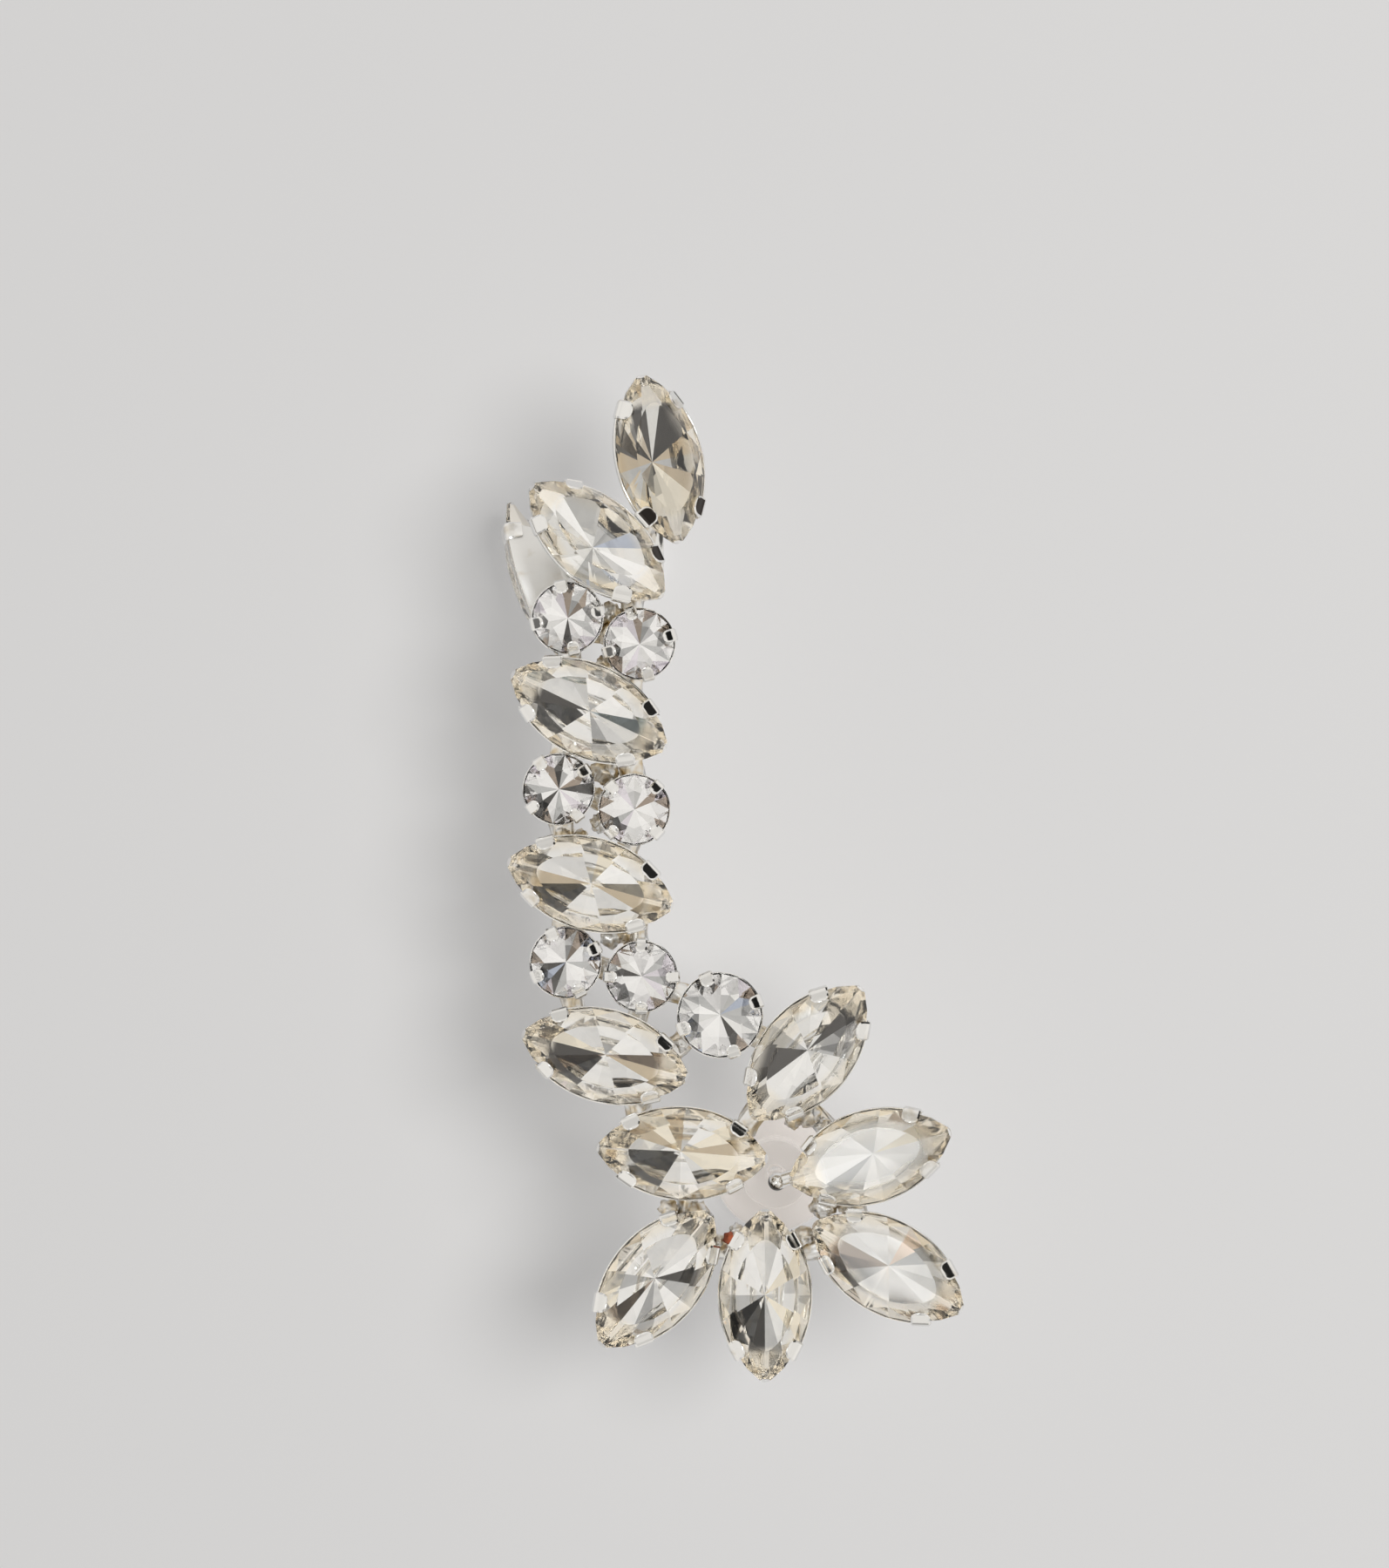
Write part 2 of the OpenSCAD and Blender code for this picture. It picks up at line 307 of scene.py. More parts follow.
def seat(name):
    kind, place, angles = PLAN[name]
    turned = Euler([radians(a) for a in angles], "XYZ").to_matrix().to_4x4()
    return Matrix.Translation((Vector(place) + SHIFT_MM) * MM) @ turned @ Matrix.Scale(MM, 4)


for name in PLAN:
    low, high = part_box(name)
    off = (seat(name).translation - (low + high) / 2) / MM
    print(name, "girdle is off its box's middle by", [round(c, 2) for c in off], "mm")

# %% [markdown]
# A marquise is a stone with two pointed ends, cut from glass: two arcs that meet at the tips. Its crown is
# a flat table in a ring of narrow facets. It could be cut from a block with planes, but writing it as
# rings of points keeps every edge crisp, and every facet has a number by which the foil finds its colour.

# %% Outline of a marquise
MARQUISE_LENGTH = 10.0
MARQUISE_WIDTH = 5.1
MARQUISE_CROWN = 0.75
MARQUISE_PAVILION = 1.85
MARQUISE_TABLE = 0.66
GIRDLE_THICK = 0.24
FACETS_A_SIDE = 8
STONE_ARC = ((MARQUISE_LENGTH / 2) ** 2 + (MARQUISE_WIDTH / 2) ** 2) / MARQUISE_WIDTH
ARC_OFFSET = STONE_ARC - MARQUISE_WIDTH / 2
TIP_ANGLE = asin(MARQUISE_LENGTH / 2 / STONE_ARC)


def marquise_point(share, angle, side, z):
    x = share * STONE_ARC * sin(angle)
    y = side * share * (STONE_ARC * cos(angle) - ARC_OFFSET)
    return Vector((x, y, z))


def marquise_ring(share, z):
    ring = []
    for side in (1, -1):
        for i in range(FACETS_A_SIDE):
            angle = side * TIP_ANGLE * (1 - 2 * i / FACETS_A_SIDE)
            ring.append(marquise_point(share, angle, side, z))
    return ring


print("arc radius in mm:", round(STONE_ARC, 3), "half angle:", round(degrees(TIP_ANGLE), 1))

# %% [markdown]
# Below the girdle, the widest line of the stone, long wedges run down to one point, the culet, and small
# facets lie between them along the girdle. A grinding wheel cuts each wedge flat. So each is worked out
# as a plane through the culet and one corner of the girdle, and the small facets begin about where two
# of these planes meet.

# %% Facets below the girdle
MAIN_REACH = 0.74


def lower_facets(ring, depth, first, reach):
    """Long wedges from the culet to every other girdle point, and two small facets between each pair."""
    culet = Vector((0, 0, -depth))
    count = len(ring)
    points, faces = [], []
    for i in range(1, count, 2):
        direction = ring[i] * reach
        heights = []
        for j in (i - 1, (i + 1) % count):
            along = (ring[(j + 1) % count] - ring[j - 1]).normalized()
            out = Vector((along.y, -along.x, 0))
            share = out.dot(direction) / out.dot(ring[j])
            heights.append(culet.z + (ring[j].z - culet.z) * share)
        points.append(Vector((direction.x, direction.y, max(heights))))
    tip = first + count + len(points)
    for k in range(len(points)):
        odd = first + 2 * k + 1
        before, after = odd - 1, first + (2 * k + 2) % count
        middle = first + count + k
        faces += [(odd, before, middle), (after, odd, middle), (middle, before, tip), (after, middle, tip)]
    return points + [culet], faces


def band(first, count):
    """A facet over each step between two rings of points that follow each other."""
    steps = [(first + i, first + (i + 1) % count) for i in range(count)]
    return [(a, a + count, b + count, b) for a, b in steps]


def cut_marquise():
    count = 2 * FACETS_A_SIDE
    table = marquise_ring(MARQUISE_TABLE, GIRDLE_THICK / 2 + MARQUISE_CROWN)
    top = marquise_ring(1, GIRDLE_THICK / 2)
    low = marquise_ring(1, -GIRDLE_THICK / 2)
    faces = [tuple(range(count))] + band(0, count) + band(count, count)
    clear = len(faces)
    below, wedges = lower_facets(low, MARQUISE_PAVILION, 2 * count, MAIN_REACH)
    return table + top + low + below, faces + wedges, clear


points, faces, clear = cut_marquise()
print("marquise:", len(faces), "facets,", clear, "of them above the foil")

# %% [markdown]
# The round stones have the usual brilliant cut: a table with eight corners, eight star facets, eight
# kites and sixteen small facets down to the girdle. A bevelled disc would come near, but its facets would
# have the wrong outlines. So the corners are placed ring by ring, and the kites' side corners so that each
# kite is flat. The foil cone is shallower than the real one: a deep cone would mirror the dark insides of
# its neighbours, and the photograph shows bright, star-like wedges.

# %% Cut of a round stone
ROUND_RADIUS = {"round": 1.93, "large round": 2.32}
ROUND_SIDES = 8
ROUND_CROWN = 0.34
ROUND_PAVILION = 0.41
ROUND_REACH = 0.56
ROUND_TABLE = 0.55
STAR_REACH = 0.79


def circle(radius, z, count, offset=0.0):
    turns = [tau * (i + offset) / count for i in range(count)]
    return [Vector((radius * cos(a), radius * sin(a), z)) for a in turns]


def cut_round(radius):
    n, edge = ROUND_SIDES, 2 * ROUND_SIDES
    rise = radius * ROUND_CROWN
    girdle = GIRDLE_THICK / 2
    table = circle(radius * ROUND_TABLE, girdle + rise, n)
    kite = (1 - STAR_REACH * cos(pi / n)) / (1 - ROUND_TABLE)
    stars = circle(radius * STAR_REACH, girdle + rise * kite, n, 0.5)
    top = circle(radius, girdle, edge)
    low = circle(radius, -girdle, edge)
    faces = [tuple(range(n))]
    for k in range(n):
        after, star, behind = (k + 1) % n, n + k, n + (k - 1) % n
        here, beyond = edge + 2 * k, edge + (2 * k + 2) % edge
        faces += [(k, star, after), (k, behind, here, star), (star, here, here + 1), (star, here + 1, beyond)]
    faces += band(edge, edge)
    clear = len(faces)
    below, wedges = lower_facets(low, radius * ROUND_PAVILION, 2 * edge, ROUND_REACH)
    return table + stars + top + low + below, faces + wedges, clear


points, faces, clear = cut_round(ROUND_RADIUS["round"])
print("round stone:", len(faces), "facets,", clear, "of them above the foil")

# %% [markdown]
# These crystals are clear glass with a mirror foil behind the pavilion. A shell of foil behind a whole
# glass stone would do, but its faces would lie in the same place as the glass and flicker. So each stone
# is one closed mesh with two finishes, glass above the girdle and foil below it. The foil is warm at the
# rim and the tips, and some of its facets are painted grey or nearly black: painted reflections of dark
# parts of the room, put into the foil's colour. The mesh carries what its material needs: how near the
# rim and the tip a point is, the foil's colour with these painted reflections on each facet, and how hazy
# the foil is under the table.

# %% Glass and foil
GLASS = {
    "Base Color": (1, 1, 1, 1), "Roughness": 0.0, "IOR": 1.3, "Transmission Weight": 1.0,
    "Coat Weight": 1.0, "Coat Roughness": 0.0, "Coat IOR": 1.6,
}
FOIL_CHAMPAGNE = (0.98, 0.935, 0.85, 1)
FOIL_ROUGHNESS = 0.04
RIM_COVER = 0.6
# Where each change begins and ends, as a share of the way to the rim or to the tip.
TINT_FADE = (0.5, 0.9)
TIP_FADE = (0.55, 0.66)
COVER_FADE = (0.6, 0.9)
HAZE_FADE = (0.5, 0.75)


def make_foil():
    material, tree, shader = new_material("champagne_foil", {"Metallic": 1.0})
    rim = attribute(tree, "rim")
    # Each facet's foil colour, with painted reflections on the dark and coloured wedges.
    facet = attribute(tree, "foil_and_painted_reflection", "Color")
    tint = mix_colour(tree, fade(tree, rim, *TINT_FADE), (1, 1, 1, 1), FOIL_CHAMPAGNE)
    both = node(tree, "ShaderNodeVectorMath", {0: facet, 1: tint}, operation="MULTIPLY").outputs[0]
    tip = fade(tree, attribute(tree, "tip"), *TIP_FADE)
    cover = maths(tree, "MAXIMUM", tip, maths(tree, "MULTIPLY", fade(tree, rim, *COVER_FADE), RIM_COVER))
    inside = maths(tree, "SUBTRACT", 1.0, fade(tree, rim, *HAZE_FADE))
    haze = maths(tree, "MULTIPLY", attribute(tree, "haze"), inside)
    fill(shader, {"Base Color": mix_colour(tree, cover, both, FOIL_CHAMPAGNE),
                  "Roughness": maths(tree, "ADD", haze, FOIL_ROUGHNESS)})
    return material


glass, foil = new_material("cut_crystal", GLASS)[0], make_foil()
print("finishes:", glass.name, foil.name)

# %% [markdown]
# Seen from above, a marquise's foil falls into sixteen wedges between the culet and the girdle, counted
# round from the right-hand tip. The photograph shows which wedges look dark, grey or coloured, and that
# tone is painted into the foil as a painted reflection of what the facet mirrors. Chance would give a
# lively stone, but not this one, so these wedges are listed one by one. All others are silver, or white
# in the round stones, with a little variation.

# %% Tones of the foil
# Besides the foil's own silver and white, these tones are painted reflections: what a facet mirrors, dark,
# grey or coloured.
FOIL_AND_REFLECTION_TONES = {
    "white": (1.0, 0.995, 1.0), "silver": (0.96, 0.96, 0.955), "pale": (0.85, 0.85, 0.84),
    "grey": (0.55, 0.555, 0.555), "blue": (0.50, 0.55, 0.66), "teal": (0.38, 0.44, 0.46),
    "brown": (0.40, 0.33, 0.27), "dark": (0.09, 0.085, 0.08), "peach": (0.95, 0.80, 0.68),
    "lilac": (0.84, 0.80, 0.86), "cream": (0.93, 0.87, 0.74), "tan": (0.60, 0.51, 0.38),
}
# Which wedges of each stone's foil get a painted reflection, and in which tone.
PAINTED_REFLECTION_WEDGES = {
    "top_stone": dict(dark=[0, 2, 13, 14], pale=[1, 15], cream=[6, 7, 8, 9], tan=[10, 12], grey=[11]),
    "curl_stone_front": dict(grey=[3], blue=[2], pale=[5, 6]),
    "curl_stone_back": dict(pale=[4]),
    "row_stone_1": dict(dark=[8], teal=[0], pale=[5, 15], grey=[13]),
    "row_stone_2": dict(tan=[8, 15], cream=[0, 3, 9], pale=[4]),
    "row_stone_3": dict(dark=[8], brown=[0, 9], tan=[15], cream=[7], pale=[12]),
    "petal_stone_1": dict(dark=[5, 6, 15], grey=[4, 13], pale=[2, 12]),
    "petal_stone_2": dict(grey=[9], cream=[0], pale=[3, 4, 6, 7, 10, 12, 14]),
    "petal_stone_3": dict(brown=[8, 9], peach=[3], grey=[2], pale=[0, 10, 12]),
    "petal_stone_4": dict(dark=[13, 15], grey=[0, 12], cream=[2, 5], pale=[1, 3, 4, 7]),
    "petal_stone_5": dict(dark=[5], grey=[1, 4, 13], brown=[15]),
    "petal_stone_6": dict(grey=[0], tan=[8, 12, 14], pale=[3, 5, 15], cream=[6, 7, 9, 13]),
    "round_stone_1": dict(brown=[1, 3], grey=[2, 14], lilac=[4], dark=[11], pale=[8]),
    "round_stone_2": dict(grey=[2, 8, 14], brown=[3], lilac=[4, 10], pale=[15]),
    "round_stone_3": dict(dark=[2, 8, 14], brown=[3, 15], grey=[6, 10], lilac=[12]),
    "round_stone_4": dict(pale=[1, 12], lilac=[3, 8], grey=[7], brown=[15]),
    "round_stone_5": dict(brown=[1], grey=[2, 10, 14], dark=[7, 9], blue=[8]),
    "round_stone_6": dict(lilac=[0, 14], grey=[1, 15], pale=[6, 13], dark=[7]),
    "large_round_stone": dict(blue=[0], pale=[1, 7, 13], grey=[5, 14, 15], dark=[12]),
}
# The small facets along the girdle take one of these, or their wedge's own tone.
SMALL_FOIL_AND_REFLECTION_TONES = {"silver": ("silver", "silver", "cream", "pale", "tan"),
               "white": ("white", "white", "white", "lilac", "brown")}
TONE_CHANGE = 0.05


def painted_tone_of(name, wedge, plain):
    return next((tone for tone, wedges in PAINTED_REFLECTION_WEDGES[name].items() if wedge in wedges), plain)


def facet_foil_and_reflection_colours(name, count, clear):
    """The foil's colour with its painted reflections on each facet: four facets below the girdle belong to
    two wedges.
    """
    chance = random.Random(name)
    plain = "silver" if PLAN[name][0] == "marquise" else "white"
    colours = []
    for i in range(count):
        step, part = divmod(i - clear, 4)
        tone = painted_tone_of(name, 2 * step + part % 2, plain) if i >= clear else plain
        if i >= clear and part < 2:
            tone = chance.choice(SMALL_FOIL_AND_REFLECTION_TONES[plain] + (tone,))
        shade = 1 + chance.uniform(-TONE_CHANGE, TONE_CHANGE)
        colours += [min(1.0, c * shade) for c in FOIL_AND_REFLECTION_TONES[tone]]
    return colours


print("toned wedges:", sum(len(wedges) for tones in PAINTED_REFLECTION_WEDGES.values() for wedges in tones.values()))

# %% [markdown]
# Now each stone is cut and set on its seat. The real marquises are blunt: the upright edge at each tip
# and the crown's edge above it are rounded. The two right-hand petals have hazy foil under the table,
# which makes the table pale and even, as the photograph shows it.

# %% Cut and place the stones
HALF_LENGTH = MARQUISE_LENGTH / 2
ROUND_RIM = 0.55
TIP_ROUNDING = 0.42
TIP_STEPS = 4
TIP_ZONE = 3
HAZE = {"petal_stone_2": 0.26, "petal_stone_3": 0.22}


def rim_and_tip(point, kind):
    """How near a point is to the stone's rim, and to a marquise's tip, from 0 to 1."""
    if kind != "marquise":
        return ROUND_RIM * min(1.0, point.to_2d().length / ROUND_RADIUS[kind]), 0.0
    width = MARQUISE_WIDTH / 2 * (1 - (point.x / HALF_LENGTH) ** 2) + 0.001
    tip = abs(point.x) / HALF_LENGTH
    return min(1.0, max(abs(point.y) / width, tip)), tip


def on_tip_edge(v):
    return abs(v.co.y) < 1e-6 and abs(v.co.x) > TIP_ZONE and v.co.z > -GIRDLE_THICK


def round_the_tips(work):
    edges = [e for e in work.edges if all(on_tip_edge(v) for v in e.verts)]
    bmesh.ops.bevel(work, geom=edges, offset=TIP_ROUNDING, segments=TIP_STEPS, profile=0.5, affect="EDGES")


def build_stone(name):
    kind = PLAN[name][0]
    points, faces, clear = cut_marquise() if kind == "marquise" else cut_round(ROUND_RADIUS[kind])
    mesh = new_mesh(name + "_cut", points, faces)
    mesh.materials.append(glass)
    mesh.materials.append(foil)
    for i, polygon in enumerate(mesh.polygons):
        polygon.material_index = 0 if i < clear else 1
    rims, tips = zip(*[rim_and_tip(p, kind) for p in points])
    write(mesh, "rim", rims)
    write(mesh, "tip", tips)
    write(mesh, "foil_and_painted_reflection", facet_foil_and_reflection_colours(name, len(faces), clear), "FLOAT_VECTOR", "FACE")
    write(mesh, "haze", [HAZE.get(name, 0.0)] * len(points))
    if kind == "marquise":
        rework(mesh, round_the_tips)
    mesh.transform(seat(name))
    mesh.update()
    stone = add_object(name + "_cut", mesh)
    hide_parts(name)
    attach(stone, "root")
    return stone


stones = [build_stone(name) for name in PLAN]
print("stones cut:", len(stones))

# %% [markdown]
# All the metal is one soldered silver setting. It is plated and bright, so its look comes from what it
# mirrors, with small things on top: fine polishing lines, a faint yellow-grey tarnish in patches, and
# brown-gold stains where the solder was heated. A painted picture could hold them, but noise and numbers
# on the mesh stay sharp from near by. The mesh says where: heat for the stains, a darkening number for a
# face painted near-black, which is painted reflection on three claws and painted shade on the post's ball,
# and dull for a wall that was never polished.

# %% Plated silver
SILVER = (0.88, 0.875, 0.86, 1)
TARNISH = (0.66, 0.60, 0.50, 1)
HEATED = (0.60, 0.41, 0.19, 1)
# The near-black painted onto some faces: painted reflection on claws, painted shade on the post's ball.
PAINTED_DARK_COLOUR = (0.06, 0.052, 0.047, 1)
LINES_PER_MM = 9
LINES_DEEP = (0.15, 0.02)
TARNISH_SIZE_MM = 1.6
TARNISH_FADE = (0.55, 0.78)
ROUGHNESS = {"From Min": 0.35, "From Max": 0.75, "To Min": 0.04, "To Max": 0.13}
DULL_ROUGHNESS = 0.38


def grain(tree, per_mm, detail):
    where = node(tree, "ShaderNodeTexCoord").outputs["Object"]
    sockets = {"Vector": where, "Scale": per_mm / MM, "Detail": detail}
    return node(tree, "ShaderNodeTexNoise", sockets).outputs["Fac"]


def bumped(tree, height, strength, distance_mm):
    sockets = {"Height": height, "Strength": strength, "Distance": distance_mm * MM}
    return node(tree, "ShaderNodeBump", sockets).outputs["Normal"]


def make_silver():
    material, tree, shader = new_material("plated_silver", {"Metallic": 1.0})
    patches = grain(tree, 1 / TARNISH_SIZE_MM, 5)
    colour = mix_colour(tree, fade(tree, patches, *TARNISH_FADE), SILVER, TARNISH)
    colour = mix_colour(tree, attribute(tree, "heat"), colour, HEATED)
    # Faces marked dark get the painted near-black: painted reflection and painted shade.
    colour = mix_colour(tree, attribute(tree, "painted_dark"), colour, PAINTED_DARK_COLOUR)
    rough = node(tree, "ShaderNodeMapRange", {"Value": patches, **ROUGHNESS}).outputs[0]
    dull = maths(tree, "MULTIPLY", attribute(tree, "dull"), DULL_ROUGHNESS)
    fill(shader, {"Base Color": colour, "Roughness": maths(tree, "ADD", rough, dull),
                  "Normal": bumped(tree, grain(tree, LINES_PER_MM, 3), *LINES_DEEP)})
    return material


silver = make_silver()
print("finish:", silver.name)

# %% [markdown]
# Every metal shape is made the same way: rings of points are joined by a skin, and only the sharp edges
# stay sharp. A bevelled curve would do for some, but rings let each section have its own shape and size.
# Each finished piece then gets its stains and takes the place of the plain setting.

# %% Skins and heat stains
# Where solder or heat has stained the metal brown-gold: place in mm and size of the stain in mm.
HEAT_STAINS = (
    ((-6.75, 14.9, 8.3), 1.5), ((-7.0, 14.0, 8.0), 1.4), ((-7.2, 12.1, 8.0), 1.2),
    ((-7.2, 6.0, 8.3), 1.5), ((-7.3, 3.1, 8.2), 1.3), ((-6.7, -3.4, 8.3), 1.1),
    ((-7.4, -7.2, 8.3), 1.0), ((0.0, -20.4, 8.6), 1.0), ((5.0, -18.4, 8.6), 1.2),
)


def skin(rings, closed):
    """Points and faces over rings of equal count. The two end rings are capped, or joined up."""
    count = len(rings[0])
    points = [point for ring in rings for point in ring]
    faces = []
    for level in range(len(rings) - 1 + closed):
        here, after = level * count, (level + 1) % len(rings) * count
        for i in range(count):
            j = (i + 1) % count
            faces.append((here + i, here + j, after + j, after + i))
    if not closed:
        faces.append(tuple(reversed(range(count))))
        faces.append(tuple(range(len(points) - count, len(points))))
    return points, faces


def in_place(rings_mm):
    return [[(p + SHIFT_MM) * MM for p in ring] for ring in rings_mm]


def shape_object(name, rings, place=None, sharp=40, closed=False):
    mesh = new_mesh(name, *skin(rings, closed))
    rework(mesh, lambda work: bmesh.ops.recalc_face_normals(work, faces=work.faces))
    if place is not None:
        mesh.transform(place)
    mesh.shade_smooth()
    mesh.set_sharp_from_angle(angle=radians(sharp))
    return add_object(name, mesh)


def heat_at(point):
    heat = 0.0
    for place, size in HEAT_STAINS:
        away = (point / MM - SHIFT_MM - Vector(place)).length / size
        heat = max(heat, exp(-away * away))
    return heat


def finish_metal(piece, least_heat=0.0):
    if not piece.data.materials:
        piece.data.materials.append(silver)
    write(piece.data, "heat", [max(least_heat, heat_at(v.co)) for v in piece.data.vertices])
    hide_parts("setting_frame")
    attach(piece, "root")
    print(piece.name, "has", len(piece.data.polygons), "faces")


def join(name, pieces):
    made = pieces[0]
    chosen = {"selected_editable_objects": pieces, "selected_objects": pieces}
    with bpy.context.temp_override(active_object=made, object=made, **chosen):
        bpy.ops.object.join()
    made.name = name
    made.data.name = name
    return made


print("stains:", len(HEAT_STAINS))

# %% [markdown]
# Each marquise sits in a stamped cup that is open at both tips, so that the points of the stone stand
# free. It is one bent sheet: two walls that follow the arcs, and a floor between them. The section
# across the sheet is a U, and it is swept along the stone from one open end to the other. A block with a
# smaller block cut out would do too, but a swept section keeps the sheet evenly thin up to its rounded rim.

# %% Marquise cups
SHEET = 0.08
CUP_GAP = 0.02
CUP_DEPTH = 2.35
CUP_FLOOR = 0.3
CUP_SIDE = 7.5
CUP_TAPER = 0.42
RIM = 0.07
CUP_STATIONS = 18
# The middle of the wall's thickness, as a share of the stone's outline.
WALL_SHARE = 1.06
CUP_HEAT = 0.4
DULL_CUP = "curl_stone_back"


def wall_profile(share):
    """Height and share of the outline, from a cup's rim down to where its floor begins."""
    foot = share - CUP_TAPER
    return [(RIM * 0.6, share), (-0.16, share), (-0.6, share - 0.09), (-1.2, share - 0.205),
            (-1.8, share - 0.32), (-2.1, foot + 0.025)]


def cup_section(angle):
    half = MARQUISE_WIDTH / 2
    inside, outside = 1 + CUP_GAP / half, 1 + (CUP_GAP + SHEET) / half
    heel = outside - CUP_TAPER - 0.12
    outer = wall_profile(outside) + [(-CUP_DEPTH + 0.07, outside - CUP_TAPER - 0.03), (-CUP_DEPTH, heel)]
    inner = wall_profile(inside)[:-1] + [(-CUP_DEPTH + CUP_FLOOR, inside - CUP_TAPER + 0.03)]
    rim = [(RIM, (inside + outside) / 2)]
    section = [marquise_point(s, angle, 1, z) for z, s in outer]
    section.append(marquise_point(heel, angle, 0, -CUP_DEPTH))
    section += [marquise_point(s, angle, -1, z) for z, s in reversed(outer)]
    section += [marquise_point(s, angle, -1, z) for z, s in rim + inner]
    section.append(marquise_point(inside - CUP_TAPER, angle, 0, -CUP_DEPTH + CUP_FLOOR))
    section += [marquise_point(s, angle, 1, z) for z, s in reversed(rim + inner)]
    return section


def marquise_cup(name):
    end = asin(CUP_SIDE / 2 / WALL_SHARE / STONE_ARC)
    angles = [end * (2 * i / CUP_STATIONS - 1) for i in range(CUP_STATIONS + 1)]
    return shape_object(name + "_cup", [cup_section(angle) for angle in angles], seat(name))


print("points across the sheet:", len(cup_section(0)))

# %% [markdown]
# The round stones sit in turned cups. A turned shape is a profile spun about its axis: here from the
# middle of the floor outside, up the wall, over the rounded rim, and down again inside. The Spin tool
# makes the same shape, but as rings it goes through the same skin as all the other metal.

# %% Round cups
SPIN_STEPS = 48


def round_cup(name):
    radius = ROUND_RADIUS[PLAN[name][0]]
    inner, outer = radius + CUP_GAP, radius + CUP_GAP + SHEET
    low = radius * CUP_TAPER
    profile = [
        (0.01, -CUP_DEPTH), (outer - low - 0.2, -CUP_DEPTH), (outer - low - 0.05, -CUP_DEPTH + 0.06),
        (outer - low * 0.95, -2.1), (outer - low * 0.5, -1.25), (outer, -0.16), (outer, RIM * 0.6),
        ((inner + outer) / 2, RIM), (inner, RIM * 0.6), (inner, -0.16), (inner - low * 0.5, -1.25),
        (inner - low, -CUP_DEPTH + CUP_FLOOR), (0.01, -CUP_DEPTH + CUP_FLOOR),
    ]
    return shape_object(name + "_cup", [circle(r, z, SPIN_STEPS) for r, z in profile], seat(name))


def build_cup(name):
    """The cup behind the curl shows a milky, unpolished wall, and all the others are bright."""
    cup = marquise_cup(name) if PLAN[name][0] == "marquise" else round_cup(name)
    write(cup.data, "dull", [float(name == DULL_CUP)] * len(cup.data.vertices))
    return cup


cups = join("cups", [build_cup(name) for name in PLAN])
finish_metal(cups, CUP_HEAT)

# %% [markdown]
# Four claws hold each stone. A claw is a small strap that stands on the cup's wall and is folded over the
# girdle onto the crown. It has a rounded end, and a flat top between slanted shoulders. A bent box would
# do from afar, but sections along a path can grow thin and narrow towards the tip. The strap is made once
# for each kind of stone, and its flat faces are marked, because on some claws they are painted near-black
# as a painted reflection of the room's dark gaps.

# %% One claw
CLAW_THICK = 0.15
CLAW_REACH = 0.78
CLAW_AIR = 0.02
CLAW_WIDTH = {"marquise": 1.06, "round": 0.7, "large round": 0.76}
SHOULDER = 0.09
# The sizes of the sections along a claw, from its foot to its tip, and which of them the dark face spans.
CLAW_WIDTHS = (0.8, 0.9, 1, 1, 1, 1, 1, 1, 0.99, 0.92, 0.74, 0.5, 0.2)
CLAW_THICKS = (0.5, 0.9, 1, 1, 1, 1, 1, 1, 1, 0.95, 0.85, 0.6, 0.25)
FLAT_SECTIONS = range(5, 11)
FLAT_SIDES = (2, 3)


def claw_section(centre, across, up, width, thick):
    """A strap with a flat top and narrow slanted shoulders, which catch the light as a bright rim."""
    bevel = min(SHOULDER, width * 0.3)
    half, deep = width / 2, thick / 2
    outline = [(half, -deep * 0.4), (half, deep * 0.2), (half - bevel, deep), (0, deep),
               (bevel - half, deep), (-half, deep * 0.2), (-half, -deep * 0.4),
               (bevel - half, -deep), (0, -deep), (half - bevel, -deep)]
    return [centre + across * a + up * b for a, b in outline]


def claw_path(slope):
    """Up the cup's wall, in a soft bend over the girdle's edge and along the crown."""
    inward = Vector((0, -cos(slope), sin(slope)))
    upward = Vector((0, sin(slope), cos(slope)))
    edge = Vector((0, 0, GIRDLE_THICK / 2))
    stand = CUP_GAP + SHEET + CLAW_THICK / 2 - 0.02
    wall = ((stand - 0.30, -0.75), (stand - 0.12, -0.42), (stand, -0.12), (stand + 0.01, 0.06))
    path = [Vector((0, y, z)) for y, z in wall]
    lift = CLAW_AIR + CLAW_THICK / 2
    start, bend, end = path[-1], Vector((0, stand + 0.01, 0.22)), edge + upward * lift + inward * 0.06
    path += [start * (1 - t) ** 2 + bend * 2 * t * (1 - t) + end * t * t for t in (0.33, 0.66)]
    straight = CLAW_REACH - 0.06
    return path + [end + inward * straight * share for share in (0, 0.3, 0.5, 0.68, 0.84, 0.95, 1.0)]


def claw_strap(name, width, slope):
    """Local: the girdle's edge is at the origin, the stone lies towards -Y, and Z is up."""
    path = claw_path(slope)
    across = Vector((1, 0, 0))
    rings = []
    for i, point in enumerate(path):
        along = (path[min(i + 1, len(path) - 1)] - path[max(i - 1, 0)]).normalized()
        up = across.cross(along).normalized() * -1
        rings.append(claw_section(point, across, up, width * CLAW_WIDTHS[i], CLAW_THICK * CLAW_THICKS[i]))
    strap = shape_object(name, rings, Matrix.Scale(MM, 4), 30)
    places = [divmod(i, len(rings[0])) for i in range(len(strap.data.polygons))]
    flat = [float(section in FLAT_SECTIONS and side in FLAT_SIDES) for section, side in places]
    write(strap.data, "claw_face", flat, domain="FACE")
    return strap


MARQUISE_SLOPE = atan(MARQUISE_CROWN / (MARQUISE_WIDTH / 2 * (1 - MARQUISE_TABLE)))
ROUND_SLOPE = atan(ROUND_CROWN / (1 - ROUND_TABLE))
print("crown slopes:", round(degrees(MARQUISE_SLOPE), 1), round(degrees(ROUND_SLOPE), 1))

